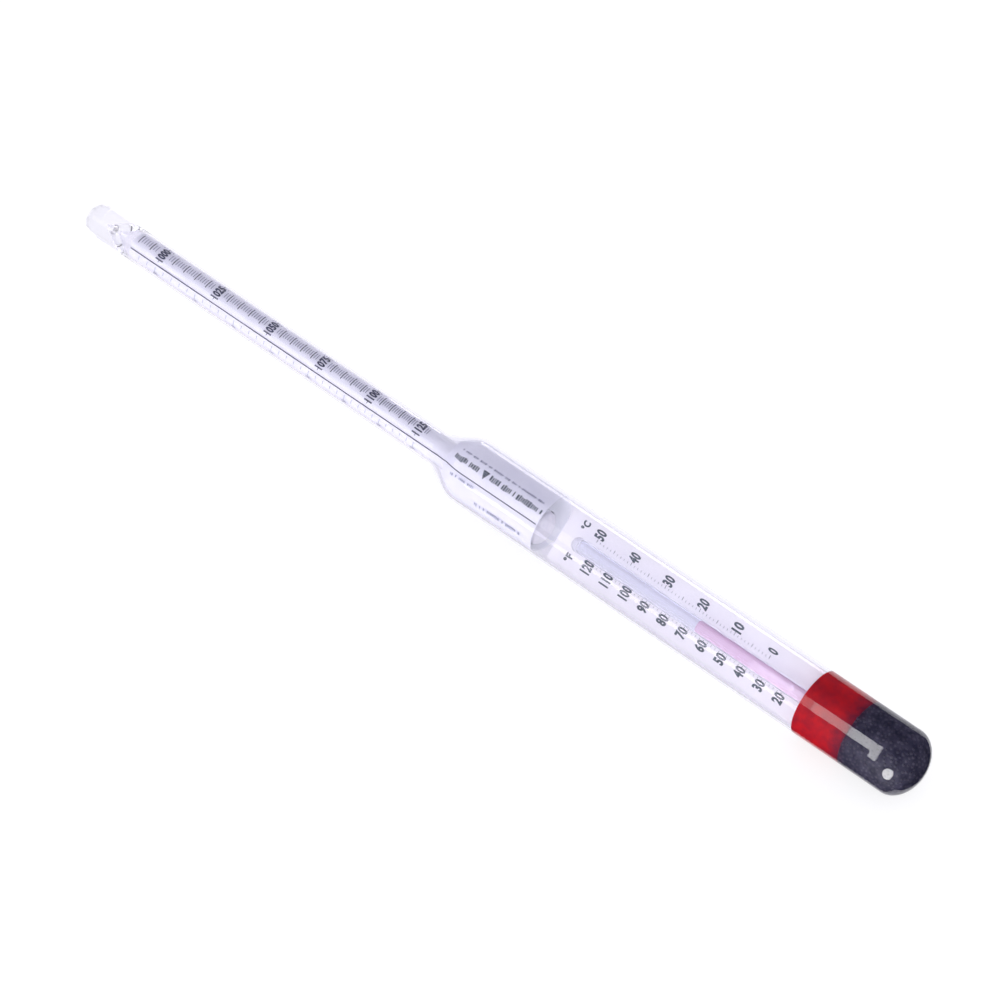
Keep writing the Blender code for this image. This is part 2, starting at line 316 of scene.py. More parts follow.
def add_bump(tree, shader, source, strength, depth):
    bump = tree.nodes.new("ShaderNodeBump")
    bump.inputs["Strength"].default_value = strength
    bump.inputs["Distance"].default_value = depth * MM
    link(tree, source, bump.inputs["Height"])
    link(tree, bump.outputs["Normal"], shader.inputs["Normal"])


def glass_material(name, tint, shade, draw_lines):
    """Clear glass that lets lamplight through to what is inside it."""
    material, tree, shader = new_material(name)
    shader.inputs["Base Color"].default_value = (*tint, 1.0)
    shader.inputs["Transmission Weight"].default_value = 1.0
    shader.inputs["Roughness"].default_value = 0.0
    shader.inputs["IOR"].default_value = 1.47
    add_bump(tree, shader, add_noise(tree, 260.0, 2.0, (0.12, 1.0, 1.0)), draw_lines, 0.05)
    path = tree.nodes.new("ShaderNodeLightPath")
    clear = tree.nodes.new("ShaderNodeBsdfTransparent")
    clear.inputs["Color"].default_value = (*shade, 1.0)
    mix = tree.nodes.new("ShaderNodeMixShader")
    link(tree, path.outputs["Is Shadow Ray"], mix.inputs["Fac"])
    link(tree, shader.outputs["BSDF"], mix.inputs[1])
    link(tree, clear.outputs["BSDF"], mix.inputs[2])
    link(tree, mix.outputs["Shader"], tree.nodes["Material Output"].inputs["Surface"])
    return material


def paper_material(name, colour, dull, grain=0.25, painted_glow=0.0):
    """Paper: fine fibres, a faint cloudiness, and a painted glow that stands in for the light that comes
    through from its other side.
    """
    material, tree, shader = new_material(name)
    fibres = add_noise(tree, 2600.0, 4.0, (0.45, 1.0, 1.0))
    clouds = add_noise(tree, 160.0, 3.0)
    cloudy = blend_colours(tree, spread(tree, clouds, 0.0, 1.0), colour, dull)
    speck = tuple(0.93 * part for part in dull)
    flecked = blend_colours(tree, spread(tree, fibres, 0.0, 0.45, 0.45, 0.8), cloudy, speck)
    link(tree, flecked, shader.inputs["Base Color"])
    link(tree, spread(tree, fibres, 0.75, 0.95), shader.inputs["Roughness"])
    shader.inputs["Specular IOR Level"].default_value = 0.3
    shader.inputs["Emission Color"].default_value = (*colour, 1.0)
    shader.inputs["Emission Strength"].default_value = painted_glow
    add_bump(tree, shader, fibres, grain, 0.03)
    return material


def ink_material(name, colour, thin):
    """Printing ink that has sunk unevenly into the paper. The same material also paints the dark shadow
    along the rolls' seams.
    """
    material, tree, shader = new_material(name)
    patches = add_noise(tree, 1500.0, 4.0)
    link(tree, blend_colours(tree, spread(tree, patches, 0.0, 1.0, 0.4, 0.75), colour, thin),
         shader.inputs["Base Color"])
    link(tree, spread(tree, patches, 0.45, 0.75), shader.inputs["Roughness"])
    return material


def cotton_material():
    material, tree, shader = new_material("cotton")
    fluff = add_noise(tree, 900.0, 6.0)
    link(tree, blend_colours(tree, spread(tree, fluff, 0.0, 1.0), (0.80, 0.80, 0.86), (0.93, 0.92, 0.95)),
         shader.inputs["Base Color"])
    shader.inputs["Roughness"].default_value = 0.95
    shader.inputs["Sheen Weight"].default_value = 0.4
    add_bump(tree, shader, fluff, 0.6, 0.15)
    return material


def spirit_material(name, colour, deep, clarity):
    material, tree, shader = new_material(name)
    drift = add_noise(tree, 350.0, 2.0, (0.2, 1.0, 1.0))
    link(tree, blend_colours(tree, spread(tree, drift, 0.0, 1.0), colour, deep), shader.inputs["Base Color"])
    shader.inputs["Roughness"].default_value = 0.08
    shader.inputs["IOR"].default_value = 1.36
    shader.inputs["Transmission Weight"].default_value = clarity
    return material


def along(tree, first, last):
    """Share from 0 at the first distance below the tip to 1 at the last."""
    split = tree.nodes.new("ShaderNodeSeparateXYZ")
    place_node = tree.nodes.new("ShaderNodeTexCoord")
    link(tree, place_node.outputs["Object"], split.inputs["Vector"])
    return spread(tree, split.outputs["X"], 0.0, 1.0, x_at(first), x_at(last))


def wander(tree, share, scale, amount):
    """The same share, made uneven by a noise."""
    add = tree.nodes.new("ShaderNodeMath")
    add.operation = "MULTIPLY_ADD"
    add.inputs[1].default_value = amount
    link(tree, add_noise(tree, scale, 3.0), add.inputs[0])
    link(tree, share, add.inputs[2])
    return add.outputs["Value"]


# The stretch over which the wax darkens, and the one over which the ballast is reddened by it.
WAX_DARKENS = (WAX_END - 5.0, WAX_END + 3.0)
WAX_SOAKS = (SHOT_TOP - 2.5, SHOT_TOP + 2.5)


def wax_material():
    """Red sealing wax, which darkens where it has run in among the shot."""
    material, tree, shader = new_material("red_wax")
    clouds = add_noise(tree, 420.0, 4.0)
    red = blend_colours(tree, spread(tree, clouds, 0.0, 1.0), (0.55, 0.002, 0.010), (0.31, 0.001, 0.015))
    depth = wander(tree, along(tree, *WAX_DARKENS), 700.0, 0.7)
    share = spread(tree, depth, 0.0, 1.0, 0.45, 1.25)
    link(tree, blend_colours(tree, share, red, (0.040, 0.004, 0.030)), shader.inputs["Base Color"])
    shader.inputs["Roughness"].default_value = 0.5
    shader.inputs["Specular IOR Level"].default_value = 0.2
    return material


def ballast_material(name, dark, light, reddened, shine):
    """Near-black and mottled, with some red wax on it just below the plug."""
    material, tree, shader = new_material(name)
    clouds = add_noise(tree, 420.0, 4.0)
    mottled = blend_colours(tree, spread(tree, clouds, 0.0, 1.0, 0.36, 0.66), dark, light)
    depth = wander(tree, along(tree, *WAX_SOAKS), 600.0, 0.8)
    near = spread(tree, depth, 1.0, 0.0, 0.3, 1.2)
    link(tree, blend_colours(tree, near, mottled, reddened), shader.inputs["Base Color"])
    shader.inputs["Roughness"].default_value = 0.5
    shader.inputs["Specular IOR Level"].default_value = shine
    return material


GLASS = glass_material("envelope_glass", (0.895, 0.882, 0.950), (0.98, 0.975, 0.99), 0.03)
TUBE_GLASS = glass_material("capillary_glass", (0.885, 0.895, 0.94), (0.97, 0.97, 0.985), 0.02)
SCALE_PAPER = paper_material("scale_paper", (0.90, 0.91, 0.94), (0.86, 0.87, 0.915))
LABEL_PAPER = paper_material("label_paper", (0.89, 0.90, 0.94), (0.84, 0.85, 0.91))
# The label's inner side has a painted glow, which stands in for light coming through the paper into the
# roll.
LABEL_BACK_GLOWING = paper_material("label_paper_back_painted_glow", (0.89, 0.90, 0.94), (0.86, 0.87, 0.92), painted_glow=0.16)
CARD_PAPER = paper_material("card_stock", (0.93, 0.92, 0.935), (0.90, 0.89, 0.91), 0.18)
INK = ink_material("scale_ink", (0.030, 0.034, 0.070), (0.09, 0.10, 0.17))
FINE_INK = ink_material("fine_ink", (0.16, 0.17, 0.26), (0.30, 0.31, 0.42))
PALE_INK = ink_material("pale_ink", (0.26, 0.28, 0.38), (0.42, 0.44, 0.55))
CARD_INK = ink_material("card_ink", (0.050, 0.070, 0.085), (0.12, 0.15, 0.18))
# Painted shadow: the dark line where each roll's outer edge laps over the paper below it.
SEAM_SHADOW = ink_material("seam_painted_shadow", (0.07, 0.07, 0.10), (0.14, 0.14, 0.19))
RESIN = ballast_material("ballast_resin", (0.011, 0.010, 0.032), (0.046, 0.042, 0.076),
                         (0.060, 0.004, 0.034), 0.2)
SHOT = ballast_material("steel_shot", (0.018, 0.016, 0.042), (0.062, 0.057, 0.092),
                        (0.085, 0.006, 0.050), 0.3)


# The glass: one fused envelope, with a solid tip, a shoulder and a round end.

def glass_wander(radius, down, angle):
    """The slight unevenness of drawn glass."""
    spot = Vector((down * 0.035, math.sin(angle) * 0.7, math.cos(angle) * 0.7))
    return -GLASS_WANDER * (0.5 + 0.5 * noise.noise(spot))


def tube_profile(start, stem_radius, body_radius, rise):
    """Stem, shoulder, body and round end, as points of (radius, down)."""
    profile = [(stem_radius, down) for down in run(start, SHOULDER_TOP, TUBE_STEP)]
    profile += [(swell(down, stem_radius, body_radius), down)
                for down in run(SHOULDER_TOP, SHOULDER_END, SHOULDER_STEP)[1:]]
    profile += [(body_radius, down) for down in run(SHOULDER_END, BASE_TOP, TUBE_STEP)[1:]]
    return profile + quarter(body_radius, BASE_TOP, rise, END_STEPS)


def make_envelope():
    outer = upturned(quarter(STEM_RADIUS, TIP_DOME, TIP_DOME, TIP_STEPS), TIP_DOME)[::-1]
    outer += tube_profile(TIP_DOME, STEM_RADIUS, BODY_RADIUS, BASE_DOME)
    shares = [step / TAPER_STEPS for step in range(TAPER_STEPS)]
    inner = [(BORE_RADIUS * (1.0 - (1.0 - share) ** TAPER_POWER), BORE_TOP + BORE_TAPER * share)
             for share in shares]
    inner += tube_profile(BORE_TOP + BORE_TAPER, BORE_RADIUS, INNER_RADIUS, BASE_RISE)
    points, faces = turned(outer, change=glass_wander)
    turned(inner[::-1], change=glass_wander, points=points, faces=faces)
    envelope = add_piece("glass_envelope", points, faces, GLASS, slot="glass_envelope")
    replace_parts(envelope, "stem_tube", "body_tube", "ballast_end")


# The papers, and what is printed on them.

def open_share(down):
    """How far the scale's roll has sprung open, from 0 in the stem to 1 near its lower end."""
    return smooth((down - SCALE_OPENS) / (SCALE_OPEN - SCALE_OPENS))


def scale_radius(down):
    return SCALE_RADIUS + (SCALE_END_RADIUS - SCALE_RADIUS) * open_share(down)


def scale_sag(down):
    return SCALE_SAG * open_share(down)


def no_sag(down):
    return 0.0


def label_radius(down):
    return min(swell(down - LABEL_LAG, BORE_RADIUS, INNER_RADIUS) - LABEL_GAP, LABEL_RADIUS)


def rolled_sheet(name, heights, radius_at, sag_at, seam, turns, material, columns, ragged, slot, node,
                 lining=None):
    """Closed sheet of paper rolled so that its outer edge is the seam and it laps inside itself."""
    points, faces = [], []
    rows = len(heights)
    for side in (0.0, -PAPER_THICKNESS):
        for down in heights:
            for column in range(columns + 1):
                across = column / columns * turns
                angle = seam + across * math.tau
                lift = RIPPLE * noise.noise(Vector((down * 0.05, across * 5.0, seam)))
                radius = radius_at(down) - across * LAP_STEP + side + lift * ragged
                end = down
                if down == heights[-1] or down == heights[0]:
                    end += RAGGED * ragged * noise.noise(Vector((across * 9.0, down, 3.0)))
                point = place(radius, angle, end)
                point.y += sag_at(down) * MM * math.sin(SAG_ANGLE)
                point.z += sag_at(down) * MM * math.cos(SAG_ANGLE)
                points.append(point)
    wide = columns + 1
    back = rows * wide
    for row in range(rows - 1):
        for column in range(columns):
            a, b = row * wide + column, row * wide + column + 1
            c, d = b + wide, a + wide
            faces.append([a, d, c, b])
            faces.append([back + a, back + b, back + c, back + d])
        first, second = row * wide, (row + 1) * wide
        faces.append([first, back + first, back + second, second])
        first, second = first + columns, second + columns
        faces.append([first, second, back + second, back + first])
    for column in range(columns):
        a, b = column, column + 1
        faces.append([a, b, back + b, back + a])
        a, b = (rows - 1) * wide + column, (rows - 1) * wide + column + 1
        faces.append([a, back + a, back + b, b])
    sheet = add_piece(name, points, faces, material, slot=slot, sharp=50.0)
    if lining:
        sheet.data.materials.append(lining)
        for face in sheet.data.polygons:
            face.material_index = int(min(face.vertices) >= back)
    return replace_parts(sheet, node)


def make_papers():
    heights = run(SCALE_TOP, SHOULDER_TOP, SCALE_STEP) + run(SHOULDER_TOP, SCALE_END, FLARE_STEP)[1:]
    rolled_sheet("scale_roll_paper", heights, scale_radius, scale_sag, SCALE_SEAM, SCALE_TURNS,
                 SCALE_PAPER, SCALE_COLUMNS, 1.0, "scale_paper", "scale_roll")
    heights = run(LABEL_TOP, LABEL_END, LABEL_STEP)
    rolled_sheet("label_paper_roll", heights, label_radius, no_sag, LABEL_SEAM, LABEL_TURNS,
                 LABEL_PAPER, LABEL_COLUMNS, LABEL_RAGGED, "label_paper", "label_roll", LABEL_BACK_GLOWING)


NUMERAL_WEIGHT = 0.044
NUMERAL_SPACING = 1.08
INK_THICKNESS = 0.02
INK_LIFT = 0.05

# Print that is bent round a roll is cut into flat parts no wider than these.
ROLL_SLICE = 0.3
LABEL_SLICE = 0.4


def flat_text(body, width, height):
    """Bold print as a flat mesh of the given size, centred on the origin."""
    curve = bpy.data.curves.new("numerals", "FONT")
    curve.body = body
    curve.resolution_u = 3
    curve.offset = NUMERAL_WEIGHT
    curve.space_character = NUMERAL_SPACING
    holder = bpy.data.objects.new("numerals", curve)
    collection.objects.link(holder)
    bpy.context.view_layer.update()
    seen = holder.evaluated_get(bpy.context.evaluated_depsgraph_get())
    mesh = bpy.data.meshes.new_from_object(seen)
    shape = bmesh.new()
    shape.from_mesh(mesh)
    bpy.data.objects.remove(holder)
    bpy.data.meshes.remove(mesh)
    bpy.data.curves.remove(curve)
    xs = [corner.co.x for corner in shape.verts]
    ys = [corner.co.y for corner in shape.verts]
    for corner in shape.verts:
        corner.co.x = (corner.co.x - (min(xs) + max(xs)) / 2) * width / (max(xs) - min(xs))
        corner.co.y = (corner.co.y - (min(ys) + max(ys)) / 2) * height / (max(ys) - min(ys))
        corner.co.z = 0.0
    bmesh.ops.remove_doubles(shape, verts=shape.verts, dist=1e-5)
    return shape


class Sheet:
    """Ink on one flat sheet, in millimetres across it and down it, before the sheet is rolled or mounted."""

    def __init__(self):
        self.shape = bmesh.new()

    def text(self, body, across, down, width, height, slice_width=0.0):
        shape = flat_text(body, width, height)
        cut = slice_width - width / 2
        while slice_width and cut < width / 2:
            geometry = shape.verts[:] + shape.edges[:] + shape.faces[:]
            bmesh.ops.bisect_plane(shape, geom=geometry, plane_co=(cut, 0.0, 0.0), plane_no=(1.0, 0.0, 0.0))
            cut += slice_width
        found = {}
        for corner in shape.verts:
            found[corner] = self.shape.verts.new((corner.co.x + across, corner.co.y - down, 0.0))
        for face in shape.faces:
            self.shape.faces.new([found[corner] for corner in face.verts])
        shape.free()

    def bar(self, left, right, down, thick, slice_width=0.0):
        """Printed line across the sheet, or along it where it is thicker than it is wide."""
        count = max(1, math.ceil((right - left) / slice_width)) if slice_width else 1
        low, high = -down - thick / 2, -down + thick / 2
        steps = [left + (right - left) * step / count for step in range(count + 1)]
        lower = [self.shape.verts.new((step, low, 0.0)) for step in steps]
        upper = [self.shape.verts.new((step, high, 0.0)) for step in steps]
        for step in range(count):
            self.shape.faces.new([lower[step], lower[step + 1], upper[step + 1], upper[step]])

    def finish(self, name, put, material, slot):
        """Gives the ink its thickness, and puts it where the sheet is."""
        bmesh.ops.recalc_face_normals(self.shape, faces=self.shape.faces)
        for face in self.shape.faces:
            if face.normal.z < 0.0:
                face.normal_flip()
        front = bmesh.ops.duplicate(self.shape, geom=self.shape.faces[:])
        pairs = {a: b for a, b in front["vert_map"].items() if isinstance(a, bmesh.types.BMVert)}
        copies = {face for face in front["geom"] if isinstance(face, bmesh.types.BMFace)}
        originals = [face for face in self.shape.faces if face not in copies]
        edges = {edge for face in originals for edge in face.edges if len(edge.link_faces) == 1}
        for edge in edges:
            loop = edge.link_loops[0]
            first, second = loop.vert, loop.link_loop_next.vert
            self.shape.faces.new([first, second, pairs[second], pairs[first]][::-1])
        raised = {pairs[corner] for face in originals for corner in face.verts}
        for face in originals:
            face.normal_flip()
        for corner in self.shape.verts:
            corner.co = put(corner.co.x, -corner.co.y, INK_THICKNESS if corner in raised else 0.0)
        return from_bmesh(name, self.shape, material, slot=slot, sharp=40.0)


def on_roll(radius_at, sag_at, angle):
    """Puts a sheet's point on a paper roll, with the sheet's middle line at the given angle."""
    def put(across, down, above):
        radius = radius_at(down) + INK_LIFT
        point = place(radius + above, angle + across / radius, down)
        point.y += sag_at(down) * MM * math.sin(SAG_ANGLE)
        point.z += sag_at(down) * MM * math.cos(SAG_ANGLE)
        return point

    return put


SCALE_ZERO = 26.7
SCALE_DEPTH = 796.0
PRINT_END = SHOULDER_TOP - 2.0
THICK_LINE = 0.24
THIN_LINE = 0.16
PALE_LINE = 0.12
NUMBER_AT = 1.65
NUMBER_SIZE = (3.7, 2.6)
PALE_NUMBER_AT = -4.6
PALE_NUMBER_SIZE = (1.3, 1.5)
PALE_STEP = 0.0036

# Where each kind of line begins and ends across the scale.
OUTER_LINE = (3.3, 4.6)
INNER_LINE = (-0.7, -0.1)
FIFTH_LINE = (0.7, 3.4)
BESIDE_LINE = (3.6, 4.1)
FINE_LINE = (1.2, 3.0)
LONG_PALE_LINE = (-3.6, -2.2)
SHORT_PALE_LINE = (-3.2, -2.2)


def density_at(gravity):
    """How far below the tip the scale reads a relative density: a floating stem's own law."""
    return SCALE_ZERO + SCALE_DEPTH * (1.0 - 1.0 / gravity)


def make_scale_print():
    """The density scale: a line every 0.001, and a number every 0.025, read across the stem."""
    sheet, fine, pale = Sheet(), Sheet(), Sheet()
    for count in range(-10, 131):
        down = density_at(1.0 + 0.001 * count)
        if down > PRINT_END:
            continue
        beside = min(count % 25, -count % 25) < 3 and count >= -2
        if count % 25 == 0 and count >= 0:
            sheet.text(f"{1000 + count}", NUMBER_AT, down, *NUMBER_SIZE, ROLL_SLICE)
            sheet.bar(*OUTER_LINE, down, THICK_LINE, ROLL_SLICE)
            sheet.bar(*INNER_LINE, down, THIN_LINE, ROLL_SLICE)
        elif count % 5 == 0:
            sheet.bar(*FIFTH_LINE, down, THICK_LINE, ROLL_SLICE)
        elif beside:
            fine.bar(*BESIDE_LINE, down, THIN_LINE, ROLL_SLICE)
        else:
            fine.bar(*FINE_LINE, down, THIN_LINE, ROLL_SLICE)
    for count in range(-2, 36):
        down = density_at(1.0 + PALE_STEP * count)
        if down > PRINT_END:
            continue
        long = count % 5 == 0
        pale.bar(*(LONG_PALE_LINE if long else SHORT_PALE_LINE), down, PALE_LINE, ROLL_SLICE)
        if long and count >= 0:
            pale.text(f"{count}", PALE_NUMBER_AT, down, *PALE_NUMBER_SIZE, ROLL_SLICE)
    put = on_roll(scale_radius, scale_sag, VIEW_ANGLE)
    for page, name, ink in ((sheet, "density_scale_ink", INK), (fine, "density_fine_ink", FINE_INK),
                            (pale, "second_scale_ink", PALE_INK)):
        page.finish(name, put, ink, "scale_paper")


# The painted shadow along each roll's seam: how far it reaches across the seam, and how it runs along it.
SEAM_SHADOW_SPAN = (-0.20, 0.06)
EDGE_MARGIN = 0.3
EDGE_HIDDEN = 2.0
EDGE_STEP = 0.8


def make_seam_shadows():
    """Painted shadow: a dark line along each roll's outer edge, where its paper laps over itself."""
    for name, first, last, radius_at, sag_at, angle, slot in (
            ("scale_roll_seam_shadow", SCALE_TOP + EDGE_MARGIN, LABEL_TOP + EDGE_HIDDEN, scale_radius, scale_sag,
             SCALE_SEAM, "scale_paper"),
            ("label_roll_seam_shadow", LABEL_TOP + EDGE_MARGIN, LABEL_END - EDGE_MARGIN, label_radius, no_sag,
             LABEL_SEAM, "label_paper")):
        line = Sheet()
        heights = run(first, last, EDGE_STEP)
        for upper, lower in zip(heights, heights[1:]):
            line.bar(*SEAM_SHADOW_SPAN, (upper + lower) / 2, lower - upper)
        line.finish(name, on_roll(radius_at, sag_at, angle), SEAM_SHADOW, slot)


LABEL_SEED = 7
WORD_LONG = (0.25, 0.60)
LOWER_HALF = (0.5, 1.0)
UPPER_HALF = (0.6, 1.0)
MAIN_ROW = math.radians(7.5)
WORD_GAP = 0.22
PHRASE_GAP = 0.9
WORD_CHANCE = 0.8

# The wedge is four bars side by side, each thicker than the one before.
WEDGE_AT = 139.3
WEDGE_START = MAIN_ROW * LABEL_RADIUS - 1.2
WEDGE_STEP = 0.55
WEDGE_BAR = 0.5
WEDGE_THIN = 0.4
WEDGE_GROWS = 0.5


def make_label_print():
    """Short bars stand for the label's small print."""
    draw = random.Random(LABEL_SEED)
    sheet, fine, pale = Sheet(), Sheet(), Sheet()
    # Each row's ink, its angle round the roll, where it begins and ends, and its letters' height.
    rows = [(sheet, MAIN_ROW, 129.2, 137.6, 1.7), (sheet, MAIN_ROW, 141.0, 157.6, 1.7),
            (fine, math.radians(24.0), 130.0, 157.0, 0.7), (pale, math.radians(-24.0), 130.6, 138.3, 0.8),
            (pale, math.radians(-50.0), 140.0, 155.0, 1.1)]
    for target, angle, start, end, tall in rows:
        across = angle * LABEL_RADIUS
        down = start
        while down < end:
            word = draw.uniform(*WORD_LONG) * min(tall, 1.0)
            low = across - tall / 2 * draw.uniform(*LOWER_HALF)
            high = across + tall / 2 * draw.uniform(*UPPER_HALF)
            target.bar(low, high, down + word / 2, word, LABEL_SLICE)
            down += word + (WORD_GAP if draw.random() < WORD_CHANCE else PHRASE_GAP)
    for step in range(4):
        left = WEDGE_START + WEDGE_STEP * step
        sheet.bar(left, left + WEDGE_BAR, WEDGE_AT, WEDGE_THIN + WEDGE_GROWS * step, LABEL_SLICE)
    put = on_roll(label_radius, no_sag, VIEW_ANGLE)
    for page, name, ink in ((sheet, "label_print", CARD_INK), (fine, "label_fine_print", FINE_INK),
                            (pale, "label_small_print", PALE_INK)):
        page.finish(name, put, ink, "label_paper")


# The wad of cotton in the scale roll's mouth.

WAD_GAP = 0.32
WAD_ROUND = 2.0
WAD_CRUMPLE = 0.16
WAD_SLACK = 0.10
CRUMPLE_SCALE = 0.7
WAD_RINGS = 4
WAD_STEP = 0.5
WAD_ROUND_STEPS = 12
WAD_SEGMENTS = 72


def make_wad():
    radius = SCALE_END_RADIUS - WAD_GAP
    rim = WAD_END - WAD_ROUND
    profile = [(radius * step / WAD_RINGS, WAD_TOP) for step in range(WAD_RINGS + 1)]
    profile += [(radius, down) for down in run(WAD_TOP, rim, WAD_STEP)[1:]]
    profile += quarter(radius, rim, WAD_END - rim, WAD_ROUND_STEPS)

    def crumple(wide, down, angle):
        spot = Vector((down, math.sin(angle) * wide, math.cos(angle) * wide)) * CRUMPLE_SCALE
        return WAD_CRUMPLE * noise.fractal(spot, 0.6, 2.0, 4) - WAD_SLACK

    at = (SCALE_SAG * math.sin(SAG_ANGLE), SCALE_SAG * math.cos(SAG_ANGLE))
    points, faces = turned(profile, at=at, segments=WAD_SEGMENTS, change=crumple)
    wad = add_piece("cotton_wad", points, faces, cotton_material(), slot="wad")
    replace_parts(wad, "roll_wad")


# The thermometer.

ZERO_CELSIUS = 226.0
DEGREE = 1.096
CARD_FRONT = -0.5
CARD_BACK = -0.8
CARD_CLEARANCE = 0.3
CARD_CORNER = 0.6
CORNER_STEPS = 6
CARD_LIFT = 0.01
TICKS_AT = 2.6
CELSIUS_AT = 4.75
FAHRENHEIT_EDGE = -5.6
NUMERAL_TALL = 3.1
UNIT_SIZE = (2.3, 2.2)
TWO_DIGITS = 2.6
THREE_DIGITS = 3.3
CELSIUS_DIGITS = 2.4
ZERO_DIGIT = 1.1

# Each unit's sign, its place across the card, and how far below the tip it is.
UNITS = (("°C", 4.7, 166.5), ("°F", -4.6, 166.7))

# A tick's length across the card and its thickness.
LONG_TICK = (0.95, 0.13)
SHORT_TICK = (0.55, 0.09)


def degrees_at(celsius):
    return ZERO_CELSIUS - DEGREE * celsius


def fahrenheit_at(fahrenheit):
    return degrees_at((fahrenheit - 32) / 1.8)


def card_outline():
    """Rectangle with rounded corners, as points of (across, down)."""
    half = math.sqrt((INNER_RADIUS - CARD_CLEARANCE) ** 2 - CARD_BACK ** 2) - CARD_CORNER
    top, end = CARD_TOP + CARD_CORNER, CARD_END - CARD_CORNER
    outline = []
    for quadrant, (x, y) in enumerate(((half, top), (half, end), (-half, end), (-half, top))):
        for step in range(CORNER_STEPS + 1):
            turn = math.pi / 2 * (step / CORNER_STEPS + quadrant - 1)
            outline.append((x + CARD_CORNER * math.cos(turn), y + CARD_CORNER * math.sin(turn)))
    return outline


def make_card():
    outline = card_outline()
    shape = bmesh.new()
    loops = [[shape.verts.new((x, down, above)) for x, down in outline] for above in (CARD_FRONT, CARD_BACK)]
    shape.faces.new(loops[0])
    shape.faces.new(loops[1][::-1])
    for step in range(len(outline)):
        after = (step + 1) % len(outline)
        shape.faces.new([loops[0][after], loops[0][step], loops[1][step], loops[1][after]])
    bmesh.ops.recalc_face_normals(shape, faces=shape.faces)
    for vertex in shape.verts:
        vertex.co = facing(vertex.co.x, vertex.co.z, vertex.co.y)
    bmesh.ops.recalc_face_normals(shape, faces=shape.faces)
    card = from_bmesh("thermometer_card_sheet", shape, CARD_PAPER, slot="card", sharp=30.0)
    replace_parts(card, "thermometer_card")


def on_card(across, down, above):
    return facing(across, CARD_FRONT + CARD_LIFT + above, down)


def make_card_print():
    """Celsius on one side of the capillary and Fahrenheit on the other."""
    ink = Sheet()
    for celsius in range(0, 51):
        wide, thick = SHORT_TICK if celsius % 5 else LONG_TICK
        ink.bar(TICKS_AT, TICKS_AT + wide, degrees_at(celsius), thick)
    for fahrenheit in range(20, 121, 2):
        wide, thick = SHORT_TICK if fahrenheit % 10 else LONG_TICK
        ink.bar(-TICKS_AT - wide, -TICKS_AT, fahrenheit_at(fahrenheit), thick)
    for celsius in range(0, 51, 10):
        wide = CELSIUS_DIGITS if celsius else ZERO_DIGIT
        ink.text(f"{celsius}", CELSIUS_AT, degrees_at(celsius), wide, NUMERAL_TALL)
    for fahrenheit in range(20, 121, 10):
        wide = THREE_DIGITS if fahrenheit > 99 else TWO_DIGITS
        ink.text(f"{fahrenheit}", FAHRENHEIT_EDGE + wide / 2, fahrenheit_at(fahrenheit), wide, NUMERAL_TALL)
    for sign, across, down in UNITS:
        ink.text(sign, across, down, *UNIT_SIZE)
    ink.finish("thermometer_scale_ink", on_card, CARD_INK, "card")


BORE_SIZE = (2.5, 1.0)
SPIRIT_SIZE = (2.4, 0.9)
FOOT_GAP = 0.3
FOOT_CLOSES = 0.1
OVAL_STEPS = 32
ROD_STEP = 4.0
ROD_SEGMENTS = 64
ROD_END_STEPS = 12

# How the bore and the spirit close towards their tops: the distance from the top, and the share of the
# full width there. Below that the rows are evenly spaced, from BORE_EVEN and from SPIRIT_EVEN on.
BORE_CLOSES = ((1.8, 0.0), (1.9, 0.5), (2.2, 0.85), (3.0, 1.0))
BORE_EVEN = 180.0
SPIRIT_CLOSES = ((0.0, 0.0), (0.08, 0.55), (0.25, 0.85), (0.6, 1.0))
SPIRIT_EVEN = THREAD_TOP + 1.4
SPIRIT_STEP = 0.8


def oval(width, depth):
    turns = [math.tau * step / OVAL_STEPS for step in range(OVAL_STEPS)]
    return [(width / 2 * math.cos(turn), depth / 2 * math.sin(turn)) for turn in turns]


def ribbon_profile(top, closes, even, end):
    """Points of (share of the full width, down) along a ribbon, from its top to its foot."""
    return [(share, top + below) for below, share in closes] + [(1.0, down) for down in even] + [(0.0, end)]


def ribbon(points, faces, width, depth, profile, inside=False):
    """Flat oval rod in front of the card."""
    rows = []
    for share, down in profile:
        if share < 1e-6:
            rows.append([len(points)])
            points.append(facing(0.0, TUBE_FORWARD, down))
            continue
        ring = oval(width * share, depth * share)
        rows.append(list(range(len(points), len(points) + len(ring))))
        points += [facing(across, TUBE_FORWARD + forward, down) for across, forward in ring]
    for upper, lower in zip(rows, rows[1:]):
        count = max(len(upper), len(lower))
        for step in range(count):
            after = (step + 1) % count
            if len(upper) == 1:
                face = [upper[0], lower[after], lower[step]]
            elif len(lower) == 1:
                face = [upper[step], upper[after], lower[0]]
            else:
                face = [upper[step], upper[after], lower[after], lower[step]]
            faces.append(face[::-1] if inside else face)


def make_capillary():
    top = TUBE_TOP + TUBE_RADIUS
    profile = upturned(quarter(TUBE_RADIUS, top, TUBE_RADIUS, ROD_END_STEPS), top)[::-1]
    profile += [(TUBE_RADIUS, down) for down in run(top, TUBE_END, ROD_STEP)]
    profile += [(TUBE_RADIUS * 0.5, TUBE_END), (0.0, TUBE_END)]
    points, faces = turned(profile, at=TUBE_AT, segments=ROD_SEGMENTS)
    end = TUBE_END - FOOT_GAP
    even = run(BORE_EVEN, end, ROD_STEP)[:-1]
    ribbon(points, faces, *BORE_SIZE, ribbon_profile(TUBE_TOP, BORE_CLOSES, even, end), inside=True)
    tube = add_piece("capillary_rod", points, faces, TUBE_GLASS, slot="capillary_glass", sharp=60.0)
    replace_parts(tube, "capillary_tube")


